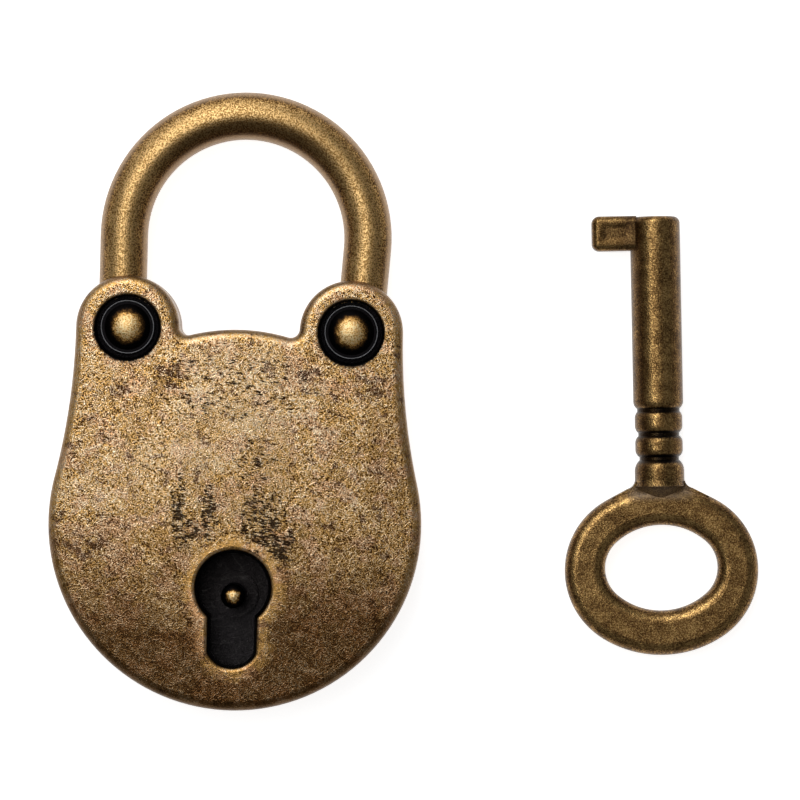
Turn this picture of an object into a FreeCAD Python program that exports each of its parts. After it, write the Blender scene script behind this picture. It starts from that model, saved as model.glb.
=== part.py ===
import FreeCAD, Part

import math
import os
from types import SimpleNamespace

import Sketcher

# A small cast padlock with two round ears, a swinging shackle, a latch lever and its barrel key.
# Millimetres. The lock lies on its back: +X to the right, +Y towards the shackle, +Z out of the front face.
# The origin is on the back face, where the axis of the drill pin (the key's axis) meets it.

doc = FreeCAD.newDocument("padlock")
sheet = doc.addObject("Spreadsheet::Sheet", "Dims")

SIZES = {
    # cast case
    "bowl_radius": 19.1,
    "bowl_centre_height": 7.36,
    "ear_spacing": 22.9,
    "ear_height": 27.3,
    "ear_radius": 5.3,
    "crown_height": 27.3,
    "crown_radius": 19.1,
    "nook_radius": 0.9,
    "case_thickness": 9.0,
    "plate_thickness": 1.9,
    "wall_thickness": 1.6,
    "edge_round": 1.1,
    "seam_bevel": 0.15,
    "face_ball_radius": 400.0,
    "face_top_height": 14.0,
    # round recesses in the ears
    "recess_radius": 3.45,
    "recess_draft": 0.3,
    "recess_depth": 1.4,
    "rear_recess_depth": 0.9,
    "recess_lip": 0.3,
    # ear rivets and their cup washers
    "rivet_radius": 1.1,
    "rivet_head_radius": 2.35,
    "rivet_head_rise": 0.9,
    "rivet_tail_radius": 2.1,
    "rivet_tail_rise": 0.7,
    "washer_radius": 2.78,
    "washer_thickness": 0.3,
    "washer_rim_width": 0.2,
    "washer_rim_rise": 0.14,
    # keyhole and drill pin
    "keyhole_radius": 3.95,
    "keyhole_rise": 0.85,
    "keyway_width": 5.17,
    "keyway_drop": 7.5,
    "keyway_end_radius": 2.8,
    "keyhole_draft": 11.0,
    "keyhole_lip": 0.45,
    "keyhole_corner": 0.45,
    "drill_pin_radius": 1.25,
    "drill_pin_height": 8.1,
    "drill_pin_tip_rise": 0.75,
    "drill_pin_boss_radius": 2.4,
    "drill_pin_boss_rise": 0.6,
    # shackle
    "bar_radius": 2.45,
    "bow_radius": 12.55,
    "bow_offset": 0.35,
    "bow_rise": 9.5,
    "toe_lean": 4.0,
    "swing_angle": 75.0,
    "swing_gap": 0.3,
    "sweep_gap": 0.2,
    "eye_radius": 3.4,
    "eye_thickness": 4.6,
    "pivot_clearance": 0.05,
    "toe_shoulder": 1.7,
    "tongue_drop": 6.1,
    "tongue_width": 1.95,
    "tongue_thickness": 4.0,
    "tongue_bevel": 0.8,
    "notch_depth": 1.0,
    # latch lever
    "latch_x": 10.4,
    "latch_y": 8.0,
    "latch_thickness": 2.4,
    "latch_rest_height": 2.2,
    "latch_throw": 4.4,
    "hub_radius": 2.3,
    "arm_width": 2.4,
    "nose_drop": 3.1,
    "nose_height": 1.3,
    "nose_bevel": 0.5,
    "tail_reach": 5.0,
    "tail_drop": 5.4,
    "tail_width": 2.0,
    "tail_end_radius": 1.1,
    "boss_gap": 0.1,
    "latch_pin_radius": 1.0,
    "pin_seat_depth": 1.0,
    "stop_pin_radius": 0.8,
    "stop_pin_y": 13.0,
    "stop_gap": 0.1,
    # flat spring and its post
    "spring_curve": 6.5,
    "spring_strip": 0.3,
    "spring_width": 2.0,
    "spring_touch_y": 15.5,
    "spring_end_angle": 70.0,
    "spring_tip_angle": 20.0,
    "post_radius": 0.8,
    "post_height": 5.2,
    # dowels that locate the two halves
    "dowel_radius": 0.9,
    "dowel_length": 5.6,
    "dowel_boss_radius": 2.1,
    "side_dowel_inset": 5.1,
    "side_dowel_angle": 36.8,
    "crown_dowel_drop": 6.8,
    # barrel key
    "key_x": 44.05,
    "key_y": 3.57,
    "key_turn": 2.5,
    "key_length": 36.56,
    "shank_radius": 2.58,
    "shank_round": 0.7,
    "bead_radius": 2.46,
    "bead_corner": 0.95,
    "bead_pitch": 2.5,
    "groove_radius": 2.04,
    "groove_rise": 0.08,
    "groove_width": 0.3,
    "top_groove_height": 16.56,
    "collar_radius": 2.56,
    "collar_corner": 1.5,
    "collar_foot_height": 9.35,
    "foot_radius": 2.72,
    "foot_bevel": 1.3,
    "foot_height": 7.4,
    "bit_reach": 6.55,
    "bit_height": 3.6,
    "bit_thickness": 3.0,
    "bit_proud": 0.1,
    "bit_round": 0.7,
    "bit_corner": 0.75,
    "web_half_width": 5.0,
    "web_foot_height": 7.6,
    "web_bend_x": 3.3,
    "web_bend_height": 8.48,
    "web_height": 9.2,
    "web_curve": 1.0,
    "web_thickness": 1.8,
    "barrel_clearance": 0.1,
    "barrel_depth": 7.0,
    "key_bow_half_width": 10.0,
    "key_bow_half_height": 8.76,
    "key_bow_end_radius": 8.25,
    "key_bow_thickness": 3.2,
    "key_bow_round": 1.3,
    "key_eye_half_width": 5.82,
    "key_eye_half_height": 4.42,
    "key_eye_end_radius": 3.6,
    "key_eye_rise": 0.26,
}

for row, (name, value) in enumerate(SIZES.items(), 1):
    sheet.set(f"A{row}", name)
    sheet.set(f"B{row}", str(value))
    sheet.setAlias(f"B{row}", name)
doc.recompute()


class Size:
    """A length or angle together with the spreadsheet formula that gives it."""

    def __init__(self, value, formula):
        self.value = value
        self.formula = formula

    def __add__(self, other):
        other = as_size(other)
        return Size(self.value + other.value, f"({self.formula} + {other.formula})")

    def __radd__(self, other):
        return as_size(other) + self

    def __sub__(self, other):
        other = as_size(other)
        return Size(self.value - other.value, f"({self.formula} - {other.formula})")

    def __rsub__(self, other):
        return as_size(other) - self

    def __mul__(self, other):
        other = as_size(other)
        return Size(self.value * other.value, f"({self.formula} * {other.formula})")

    def __rmul__(self, other):
        return as_size(other) * self

    def __truediv__(self, other):
        other = as_size(other)
        return Size(self.value / other.value, f"({self.formula} / {other.formula})")

    def __neg__(self):
        return Size(-self.value, f"(-1 * {self.formula})")


def as_size(number):
    return number if isinstance(number, Size) else Size(float(number), repr(float(number)))


def sine(angle):
    return Size(math.sin(math.radians(angle.value)), f"sin({angle.formula} * 1 deg)")


def cosine(angle):
    return Size(math.cos(math.radians(angle.value)), f"cos({angle.formula} * 1 deg)")


def tangent(angle):
    return Size(math.tan(math.radians(angle.value)), f"tan({angle.formula} * 1 deg)")


def root(area):
    return Size(math.sqrt(area.value), f"sqrt({area.formula})")


def dome_curve(radius, rise):
    """The radius of the ball that a dome of this width and rise is cut from."""
    return (radius * radius + rise * rise) / (2 * rise)


D = SimpleNamespace(**{name: Size(float(sheet.get(name)), f"Dims.{name}") for name in SIZES})


# Sketches, features and primitives, each driven from the sheet


def drive(thing, place, size):
    """Bind one property of an object to its formula."""
    thing.setExpression(place, as_size(size).formula)


def new_body(label):
    body = doc.addObject("PartDesign::Body", label)
    body.Label = label
    return body


def new_sketch(body, name, plane="XY_Plane", offset=0.0):
    """A sketch on one of the body's origin planes, moved along the plane's normal."""
    sketch = body.newObject("Sketcher::SketchObject", f"{body.Label}_{name}")
    support = [f for f in body.Origin.OriginFeatures if f.Role == plane][0]
    sketch.AttachmentSupport = (support, [""])
    sketch.MapMode = "FlatFace"
    drive(sketch, ".AttachmentOffset.Base.z", offset)
    return sketch


def hold(sketch, kind, *place_and_size):
    """Add a dimension to a sketch and bind it to its formula."""
    *place, size = place_and_size
    size = as_size(size)
    index = sketch.addConstraint(Sketcher.Constraint(kind, *place, size.value))
    sketch.setExpression(f"Constraints[{index}]", size.formula)


def hold_point(sketch, geometry, point, x, y):
    hold(sketch, "DistanceX", -1, 1, geometry, point, x)
    hold(sketch, "DistanceY", -1, 1, geometry, point, y)


def draw_circle(sketch, x, y, radius):
    x, y, radius = as_size(x), as_size(y), as_size(radius)
    centre = FreeCAD.Vector(x.value, y.value, 0)
    circle = sketch.addGeometry(Part.Circle(centre, FreeCAD.Vector(0, 0, 1), radius.value), False)
    hold_point(sketch, circle, 3, x, y)
    hold(sketch, "Radius", circle, radius)


def arc_through(start, end, radius, long_way):
    """The arc from start to end, counter-clockwise for a positive radius, and its first drawn end."""
    (x0, y0), (x1, y1) = start, end
    half = math.hypot(x1 - x0, y1 - y0) / 2
    rise = math.sqrt(max(radius * radius - half * half, 0.0))
    side = math.copysign(1.0, radius) * (-1.0 if long_way else 1.0)
    cx = (x0 + x1) / 2 - side * rise * (y1 - y0) / (2 * half)
    cy = (y0 + y1) / 2 + side * rise * (x1 - x0) / (2 * half)
    first = math.atan2(y0 - cy, x0 - cx)
    last = math.atan2(y1 - cy, x1 - cx)
    if radius < 0:
        first, last = last, first
    if last < first:
        last += 2 * math.pi
    circle = Part.Circle(FreeCAD.Vector(cx, cy, 0), FreeCAD.Vector(0, 0, 1), abs(radius))
    return Part.ArcOfCircle(circle, first, last)


def draw_outline(sketch, corners):
    """A closed outline. A corner is (x, y), or (x, y, radius) where an arc leads to it from the last corner,
    counter-clockwise if radius is positive, and (x, y, radius, True) where that arc is over half a turn."""
    corners = [tuple(as_size(n) for n in c[:3]) + tuple(c[3:]) for c in corners]
    count = len(corners)
    ends = []
    for i in range(count):
        before = corners[i - 1]
        here = corners[i]
        start = (before[0].value, before[1].value)
        end = (here[0].value, here[1].value)
        if len(here) == 2:
            line = Part.LineSegment(FreeCAD.Vector(*start, 0), FreeCAD.Vector(*end, 0))
            edge = sketch.addGeometry(line, False)
            ends.append((edge, 1, 2))
        else:
            arc = arc_through(start, end, here[2].value, len(here) == 4)
            edge = sketch.addGeometry(arc, False)
            forward = here[2].value > 0
            ends.append((edge, 1, 2) if forward else (edge, 2, 1))
    for i in range(count):
        edge, _, last = ends[i]
        following, first, _ = ends[(i + 1) % count]
        sketch.addConstraint(Sketcher.Constraint("Coincident", edge, last, following, first))
        hold_point(sketch, edge, last, corners[i][0], corners[i][1])
        if len(corners[i]) > 2:
            radius = corners[i][2]
            hold(sketch, "Radius", edge, radius if radius.value > 0 else -radius)


def draw_box(sketch, left, bottom, right, top):
    draw_outline(sketch, [(left, bottom), (right, bottom), (right, top), (left, top)])


def draw_arcs(sketch, arcs):
    """A closed run of tangent arcs, each (x, y, radius, first angle, last angle), counter-clockwise.
    Each also says which way the run goes along it."""
    made = []
    for x, y, radius, first, last, forward in arcs:
        circle = Part.Circle(FreeCAD.Vector(x, y, 0), FreeCAD.Vector(0, 0, 1), radius)
        made.append((sketch.addGeometry(Part.ArcOfCircle(circle, first, last), False), forward))
    for i, (arc, forward) in enumerate(made):
        following, next_forward = made[(i + 1) % len(made)]
        ends = (2 if forward else 1, 1 if next_forward else 2)
        sketch.addConstraint(Sketcher.Constraint("Tangent", arc, ends[0], following, ends[1]))
    return [arc for arc, forward in made]


def pad(body, sketch, length, down=False):
    feature = body.newObject("PartDesign::Pad", sketch.Name + "_pad")
    feature.Profile = sketch
    feature.Reversed = down
    drive(feature, "Length", length)
    sketch.Visibility = False
    return feature


def pocket(body, sketch, depth, up=False, draft=None):
    """A pocket cuts downwards from its sketch, or upwards."""
    feature = body.newObject("PartDesign::Pocket", sketch.Name + "_pocket")
    feature.Profile = sketch
    feature.Reversed = up
    drive(feature, "Length", depth)
    if draft is not None:
        drive(feature, "TaperAngle", draft)
    return feature


def revolve(body, sketch, kind="Revolution"):
    """Turn a profile once round its sketch's upright axis, to add metal or, as a Groove, to cut it away."""
    feature = body.newObject(f"PartDesign::{kind}", sketch.Name + "_turned")
    feature.Profile = sketch
    feature.ReferenceAxis = (sketch, ["V_Axis"])
    feature.Angle = 360
    return feature


# when edges are picked: heights closer than this are level, and an outline's own edges may pass it by this
LEVEL = 1e-4
SLACK = 0.1


def round_edges(body, feature, radius, chosen, kind="Fillet"):
    """Round or bevel the edges of a feature that the test picks out."""
    doc.recompute()
    names = [f"Edge{i}" for i, edge in enumerate(feature.Shape.Edges, 1) if chosen(edge)]
    if not names:
        raise RuntimeError(f"{feature.Name}: no edge to round")
    finish = body.newObject(f"PartDesign::{kind}", f"{feature.Name}_{kind.lower()}")
    finish.Base = (feature, names)
    drive(finish, "Radius" if kind == "Fillet" else "Size", radius)
    return finish


def at_height(height):
    """Picks out the edges that lie flat at one height."""

    def chosen(edge):
        box = edge.BoundBox
        return abs(box.ZMin - height.value) < LEVEL and abs(box.ZMax - height.value) < LEVEL

    return chosen


def pin(label, radius, bottom, length, x, y):
    """A plain round pin standing along Z."""
    cylinder = doc.addObject("Part::Cylinder", label)
    cylinder.Label = label
    drive(cylinder, "Radius", radius)
    drive(cylinder, "Height", length)
    drive(cylinder, ".Placement.Base.x", x)
    drive(cylinder, ".Placement.Base.y", y)
    drive(cylinder, ".Placement.Base.z", bottom)
    return cylinder


# Heights and places that several pieces share

parting = D.case_thickness / 2
chamber_depth = parting - D.plate_thickness
front_plate_inside = D.case_thickness - D.plate_thickness
ear_x = D.ear_spacing / 2
recess_floor = D.case_thickness - D.recess_depth
bar_centre_x = D.bow_radius - D.bow_offset
toe_side_x = D.bow_radius + D.bow_offset
bow_height = D.ear_height + D.bow_rise
arm_top = D.ear_height - D.nose_drop


# The two cast halves of the case


def draw_case(sketch, inset):
    """The case's outline, set in from its edge: round bowl, hollow flanks, ears, nooks and crown."""
    bowl = D.bowl_radius - inset
    ear = D.ear_radius - inset
    nook = D.nook_radius + inset
    crown = D.crown_radius - inset
    crown_y = D.crown_height - D.crown_radius
    half = ear_x + D.ear_radius
    rise = D.ear_height - D.bowl_centre_height
    flank = (D.bowl_radius * D.bowl_radius - half * half - rise * rise) / (2 * (half - D.bowl_radius))
    flank_x = (half + flank).value
    flank_angle = math.atan2(rise.value, flank_x)
    # the nook's centre is at fixed distances from the ear's and the crown's centres
    to_ear = (ear + nook).value
    to_crown = (crown + nook).value
    across = ear_x.value
    up = (D.ear_height - crown_y).value
    apart = math.hypot(across, up)
    bend = math.acos((to_crown**2 + apart**2 - to_ear**2) / (2 * to_crown * apart))
    nook_angle = math.atan2(up, across) + bend
    nook_x = to_crown * math.cos(nook_angle)
    nook_y = crown_y.value + to_crown * math.sin(nook_angle)
    ear_angle = math.atan2(nook_y - D.ear_height.value, nook_x - across)
    ear_y = D.ear_height.value
    straight = math.pi
    right = [
        (flank_x, ear_y, flank.value + inset.value, straight, straight + flank_angle, False),
        (across, ear_y, ear.value, 0.0, ear_angle % (2 * math.pi), True),
        (nook_x, nook_y, nook.value, nook_angle - straight, (ear_angle % (2 * math.pi)) - straight, False),
    ]
    left = [
        (-x, y, r, straight - last, straight - first, forward) for x, y, r, first, last, forward in right
    ]
    bowl_y = D.bowl_centre_height.value
    bowl_arc = (0.0, bowl_y, bowl.value, straight - flank_angle, 2 * straight + flank_angle, True)
    crown_arc = (0.0, crown_y.value, crown.value, nook_angle, straight - nook_angle, True)
    run = [bowl_arc, *right, crown_arc, *reversed(left)]
    arcs = draw_arcs(sketch, run)
    bowl_edge, right_flank, right_ear, right_nook, crown_edge, left_nook, left_ear, left_flank = arcs
    hold_point(sketch, bowl_edge, 3, 0, D.bowl_centre_height)
    hold(sketch, "Radius", bowl_edge, bowl)
    hold_point(sketch, crown_edge, 3, 0, crown_y)
    hold(sketch, "Radius", crown_edge, crown)
    for edge, x in ((right_ear, ear_x), (left_ear, -ear_x)):
        hold_point(sketch, edge, 3, x, D.ear_height)
        hold(sketch, "Radius", edge, ear)
    for edge in (right_nook, left_nook):
        hold(sketch, "Radius", edge, nook)
    for edge in (right_flank, left_flank):
        hold(sketch, "DistanceY", -1, 1, edge, 3, D.ear_height)


def draw_swing_slot(sketch):
    """The gap in the heel ear's rim through which the leg swings, from upright to fully open."""
    off_pivot = bar_centre_x - ear_x
    inner = D.bar_radius + D.swing_gap - off_pivot
    outer = D.bar_radius + D.swing_gap + off_pivot
    reach = D.ear_radius + D.bar_radius * 2
    pivot_x = -ear_x
    pivot_y = D.ear_height
    foot_x = pivot_x - outer * cosine(D.swing_angle)
    foot_y = pivot_y - outer * sine(D.swing_angle)
    corners = [
        (pivot_x + inner, pivot_y),
        (pivot_x + inner, pivot_y + reach),
        (pivot_x - reach, pivot_y + reach),
        (foot_x - reach * sine(D.swing_angle), foot_y + reach * cosine(D.swing_angle)),
        (foot_x, foot_y),
    ]
    draw_outline(sketch, corners)


def tongue_inner_x():
    return ear_x + D.rivet_radius + D.swing_gap


def draw_toe_slot(sketch):
    """The gap in the toe ear's rim and the room below it for the shackle's tongue on its way out."""
    tip_y = D.ear_height - D.tongue_drop
    tongue_outer = tongue_inner_x() + D.tongue_width
    # the tongue's outer corner rides on a circle about the heel rivet, widest level with the ears
    span_x = tongue_outer + ear_x
    sweep = root(span_x * span_x + D.tongue_drop * D.tongue_drop) - ear_x
    shoulder_y = D.toe_shoulder
    leg_end_x = toe_side_x - (D.bow_rise - shoulder_y) * tangent(D.toe_lean)
    inner_x = leg_end_x - D.bar_radius + ear_x
    lift = root(inner_x * inner_x + shoulder_y * shoulder_y - D.ear_radius * D.ear_radius) - ear_x
    bottom = tip_y - D.swing_gap
    draw_box(sketch, lift - D.swing_gap, bottom, sweep + D.sweep_gap, bow_height)


dowel_ring = D.bowl_radius - D.side_dowel_inset
dowel_x = dowel_ring * cosine(D.side_dowel_angle)
dowel_y = D.bowl_centre_height - dowel_ring * sine(D.side_dowel_angle)
dowels = {
    "left_dowel": (-dowel_x, dowel_y),
    "right_dowel": (dowel_x, dowel_y),
    "crown_dowel": (as_size(0), D.crown_height - D.crown_dowel_drop),
}


def crown_face(body):
    """Cut the front face to a very large ball, so that it swells gently and falls away to the edges."""
    cut = new_sketch(body, "face_ball", "XZ_Plane", -D.face_top_height)
    reach = 2 * D.bowl_radius
    ball = D.face_ball_radius
    low = D.case_thickness - ball + root(ball * ball - reach * reach)
    over = D.case_thickness + D.edge_round
    draw_outline(cut, [(reach, low, -ball), (reach, over), (0, over), (0, D.case_thickness)])
    return revolve(body, cut, "Groove")


def on_face(front):
    """Picks out the edges that lie in the outer face of one half, other than the seam of its ball."""

    def chosen(edge):
        box = edge.BoundBox
        lowest = D.case_thickness.value - D.edge_round.value
        near = box.ZMin > lowest if front else abs(box.ZMax) < LEVEL
        return near and box.YLength > LEVEL

    return chosen


def cast_half(label, front):
    """One half of the case, from the parting plane to its face, with its rim, bosses and ear recesses."""
    body = new_body(label)
    outline = new_sketch(body, "outline", offset=parting)
    draw_case(outline, as_size(0))
    block = pad(body, outline, parting, down=not front)
    if front:
        block = crown_face(body)
    face = D.case_thickness if front else as_size(0)
    rounded = round_edges(body, block, D.edge_round, on_face(front))
    round_edges(body, rounded, D.seam_bevel, at_height(parting), "Chamfer")

    chamber = new_sketch(body, "chamber", offset=parting)
    draw_case(chamber, D.wall_thickness)
    pocket(body, chamber, chamber_depth, up=front)
    for name, draw in (("swing_slot", draw_swing_slot), ("toe_slot", draw_toe_slot)):
        slot = new_sketch(body, name, offset=parting)
        draw(slot)
        pocket(body, slot, chamber_depth, up=front)

    bosses = new_sketch(body, "dowel_bosses", offset=parting)
    for x, y in dowels.values():
        draw_circle(bosses, x, y, D.dowel_boss_radius)
    pad(body, bosses, chamber_depth, down=not front)
    holes = new_sketch(body, "dowel_holes", offset=parting)
    for x, y in dowels.values():
        draw_circle(holes, x, y, D.dowel_radius)
    pocket(body, holes, D.dowel_length / 2, up=front)

    depth = D.recess_depth if front else D.rear_recess_depth
    for x in (-ear_x, ear_x):
        recess = body.newObject("PartDesign::SubtractiveCone", f"{label}_recess")
        wide = D.recess_radius
        narrow = D.recess_radius - D.recess_draft
        drive(recess, "Radius1", narrow if front else wide)
        drive(recess, "Radius2", wide if front else narrow)
        drive(recess, "Height", depth)
        drive(recess, ".Placement.Base.x", x)
        drive(recess, ".Placement.Base.y", D.ear_height)
        drive(recess, ".Placement.Base.z", D.case_thickness - depth if front else 0)

    def recess_mouth(edge):
        box = edge.BoundBox
        from_ear = abs(abs(box.Center.x) - ear_x.value) + abs(box.Center.y - D.ear_height.value)
        round_ear = from_ear < D.recess_draft.value and box.YLength > D.recess_radius.value
        return on_face(front)(edge) and round_ear

    round_edges(body, body.Tip, D.recess_lip, recess_mouth)

    rivet_holes = new_sketch(body, "rivet_holes", offset=face)
    for x in (-ear_x, ear_x):
        draw_circle(rivet_holes, x, D.ear_height, D.rivet_radius)
    pocket(body, rivet_holes, parting, up=not front)
    return body


front_case = cast_half("front_case", True)
back_case = cast_half("back_case", False)

# The front half carries the keyhole, with drafted walls and a rolled lip,
# and a boss that keeps the latch down.

keyhole = new_sketch(front_case, "keyhole", offset=D.case_thickness)
half_way = D.keyway_width / 2
neck_y = D.keyhole_rise - root(D.keyhole_radius * D.keyhole_radius - half_way * half_way)
keyway_end = D.keyway_end_radius
corner_y = keyway_end - D.keyway_drop - root(keyway_end * keyway_end - half_way * half_way)
draw_outline(
    keyhole,
    [
        (half_way, corner_y, keyway_end),
        (half_way, neck_y),
        (-half_way, neck_y, D.keyhole_radius, True),
        (-half_way, corner_y),
    ],
)
keyhole_pocket = pocket(front_case, keyhole, D.plate_thickness, draft=-D.keyhole_draft)


def keyhole_corner(edge):
    """The four upright edges of the keyhole, which lean with its draft."""
    box = edge.BoundBox
    reach = D.keyhole_radius.value + SLACK
    inside = box.XMin > -reach and box.XMax < reach
    upright = box.ZLength > D.plate_thickness.value / 2
    low = box.Center.y < 0 and box.YMin > -D.keyway_drop.value - SLACK
    return inside and upright and low


softened = round_edges(front_case, keyhole_pocket, D.keyhole_corner, keyhole_corner)


def keyhole_mouth(edge):
    """The keyhole's edge in the front face."""
    box = edge.BoundBox
    reach = D.keyhole_radius.value + SLACK
    inside = box.XMin > -reach and box.XMax < reach
    level = box.ZLength < D.keyhole_lip.value
    return on_face(True)(edge) and level and inside and box.YMax < reach + D.keyhole_rise.value


round_edges(front_case, softened, D.keyhole_lip, keyhole_mouth)

latch_top = D.latch_rest_height + D.latch_thickness
front_boss = new_sketch(front_case, "latch_boss", offset=latch_top + D.boss_gap)
draw_circle(front_boss, D.latch_x, D.latch_y, D.hub_radius)
pad(front_case, front_boss, front_plate_inside - latch_top - D.boss_gap)
pin_top = front_plate_inside + D.pin_seat_depth
front_pin_hole = new_sketch(front_case, "latch_pin_hole", offset=parting)
draw_circle(front_pin_hole, D.latch_x, D.latch_y, D.latch_pin_radius)
pocket(front_case, front_pin_hole, pin_top - parting, up=True)

# The back half carries the drill pin's boss, the latch's boss and the blind seats of the pins.

low_bosses = new_sketch(back_case, "drill_pin_boss", offset=D.plate_thickness)
draw_circle(low_bosses, 0, 0, D.drill_pin_boss_radius)
pad(back_case, low_bosses, D.drill_pin_boss_rise)
latch_boss = new_sketch(back_case, "latch_boss", offset=D.plate_thickness)
draw_circle(latch_boss, D.latch_x, D.latch_y, D.hub_radius)
pad(back_case, latch_boss, D.latch_rest_height - D.plate_thickness - D.boss_gap)
throw_x = (D.stop_pin_y - D.latch_y) * sine(D.latch_throw)
stop_x = D.latch_x + D.arm_width / 2 + throw_x + D.stop_gap + D.stop_pin_radius
spring_centre_x = D.latch_x - D.arm_width / 2 - D.stop_gap / 2 - D.spring_strip / 2 - D.spring_curve
eye_arm = D.spring_curve - D.post_radius - D.pivot_clearance - D.spring_strip / 2
post_x = spring_centre_x + eye_arm * cosine(D.spring_end_angle)
post_y = D.spring_touch_y + eye_arm * sine(D.spring_end_angle)
pin_seats = new_sketch(back_case, "pin_seats", offset=parting)
draw_circle(pin_seats, 0, 0, D.drill_pin_radius)
draw_circle(pin_seats, D.latch_x, D.latch_y, D.latch_pin_radius)
draw_circle(pin_seats, stop_x, D.stop_pin_y, D.stop_pin_radius)
draw_circle(pin_seats, post_x, post_y, D.post_radius)
seat_floor = D.plate_thickness - D.pin_seat_depth
pocket(back_case, pin_seats, parting - seat_floor)

# Pins and dowels

latch_pivot_pin = pin(
    "latch_pivot_pin", D.latch_pin_radius, seat_floor, pin_top - seat_floor, D.latch_x, D.latch_y
)
latch_stop_pin = pin(
    "latch_stop_pin", D.stop_pin_radius, seat_floor, D.post_height - seat_floor, stop_x, D.stop_pin_y
)
spring_post = pin("spring_post", D.post_radius, seat_floor, D.post_height - seat_floor, post_x, post_y)
dowel_pins = [
    pin(label, D.dowel_radius, parting - D.dowel_length / 2, D.dowel_length, x, y)
    for label, (x, y) in dowels.items()
]

# The drill pin: a turned pin with a round tip, over which the barrel key slides.

drill_pin = new_body("drill_pin")
drill_profile = new_sketch(drill_pin, "profile", "XZ_Plane")
draw_outline(
    drill_profile,
    [
        (0, seat_floor),
        (D.drill_pin_radius, seat_floor),
        (D.drill_pin_radius, D.drill_pin_height - D.drill_pin_tip_rise),
        (0, D.drill_pin_height, dome_curve(D.drill_pin_radius, D.drill_pin_tip_rise)),
    ],
)
revolve(drill_pin, drill_profile)


# The ear rivets: round heads in front on cup washers, and low tails peened into the rear recesses.


def ear_rivet(label, x):
    body = new_body(label)
    profile = new_sketch(body, "profile", "XZ_Plane")
    head = recess_floor + D.washer_thickness
    tail = D.rear_recess_depth
    corners = [
        (D.rivet_tail_radius, tail, dome_curve(D.rivet_tail_radius, D.rivet_tail_rise)),
        (D.rivet_radius, tail),
        (D.rivet_radius, head),
        (D.rivet_head_radius, head),
        (0, head + D.rivet_head_rise, dome_curve(D.rivet_head_radius, D.rivet_head_rise)),
        (0, tail - D.rivet_tail_rise),
    ]
    draw_outline(profile, corners)
    revolve(body, profile)
    drive(body, ".Placement.Base.x", x)
    drive(body, ".Placement.Base.y", D.ear_height)
    return body


def cup_washer(label, x):
    body = new_body(label)
    profile = new_sketch(body, "profile", "XZ_Plane")
    top = recess_floor + D.washer_thickness
    corners = [
        (D.rivet_radius, recess_floor),
        (D.washer_radius, recess_floor),
        (D.washer_radius, top),
        (D.washer_radius - D.washer_rim_width / 2, top + D.washer_rim_rise),
        (D.washer_radius - D.washer_rim_width, top),
        (D.rivet_radius, top),
    ]
    draw_outline(profile, corners)
    revolve(body, profile)
    drive(body, ".Placement.Base.x", x)
    drive(body, ".Placement.Base.y", D.ear_height)
    return body


pivot_rivet = ear_rivet("pivot_rivet", -ear_x)
closing_rivet = ear_rivet("closing_rivet", ear_x)
pivot_rivet_washer = cup_washer("pivot_rivet_washer", -ear_x)
closing_rivet_washer = cup_washer("closing_rivet_washer", ear_x)

# The shackle: a round bar bent to a bow, with an eye at the heel and a flat notched tongue at the toe.

shackle = new_body("shackle")
bar = new_sketch(shackle, "bar", "XZ_Plane", -D.ear_height)
draw_circle(bar, -bar_centre_x, parting, D.bar_radius)
path = new_sketch(shackle, "path", offset=parting)
lean = math.radians(D.toe_lean.value)
bow_centre = FreeCAD.Vector(D.bow_offset.value, bow_height.value, 0)
bow_circle = Part.Circle(bow_centre, FreeCAD.Vector(0, 0, 1), D.bow_radius.value)
toe_bend_x = D.bow_offset + D.bow_radius * cosine(D.toe_lean)
toe_bend_y = bow_height - D.bow_radius * sine(D.toe_lean)
toe_end_y = D.ear_height + D.toe_shoulder
toe_end_x = toe_bend_x - (toe_bend_y - toe_end_y) * tangent(D.toe_lean)
heel_foot = FreeCAD.Vector(-bar_centre_x.value, D.ear_height.value, 0)
heel_bend = FreeCAD.Vector(-bar_centre_x.value, bow_height.value, 0)
toe_bend = FreeCAD.Vector(toe_bend_x.value, toe_bend_y.value, 0)
toe_end = FreeCAD.Vector(toe_end_x.value, toe_end_y.value, 0)
heel_leg = path.addGeometry(Part.LineSegment(heel_foot, heel_bend), False)
bow_arc = path.addGeometry(Part.ArcOfCircle(bow_circle, -lean, math.pi), False)
toe_leg = path.addGeometry(Part.LineSegment(toe_bend, toe_end), False)
path.addConstraint(Sketcher.Constraint("Tangent", heel_leg, 2, bow_arc, 2))
path.addConstraint(Sketcher.Constraint("Tangent", bow_arc, 1, toe_leg, 1))
hold_point(path, heel_leg, 1, -bar_centre_x, D.ear_height)
hold_point(path, bow_arc, 3, D.bow_offset, bow_height)
hold_point(path, toe_leg, 2, toe_end_x, toe_end_y)
pipe = shackle.newObject("PartDesign::AdditivePipe", "shackle_pipe")
pipe.Profile = bar
pipe.Spine = (path, ["Edge1", "Edge2", "Edge3"])

eye = new_sketch(shackle, "eye", offset=parting - D.eye_thickness / 2)
draw_circle(eye, -ear_x, D.ear_height, D.eye_radius)
pad(shackle, eye, D.eye_thickness)
eye_bore = new_sketch(shackle, "eye_bore", offset=0)
draw_circle(eye_bore, -ear_x, D.ear_height, D.rivet_radius + D.pivot_clearance)
pocket(shackle, eye_bore, D.case_thickness, up=True)

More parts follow.
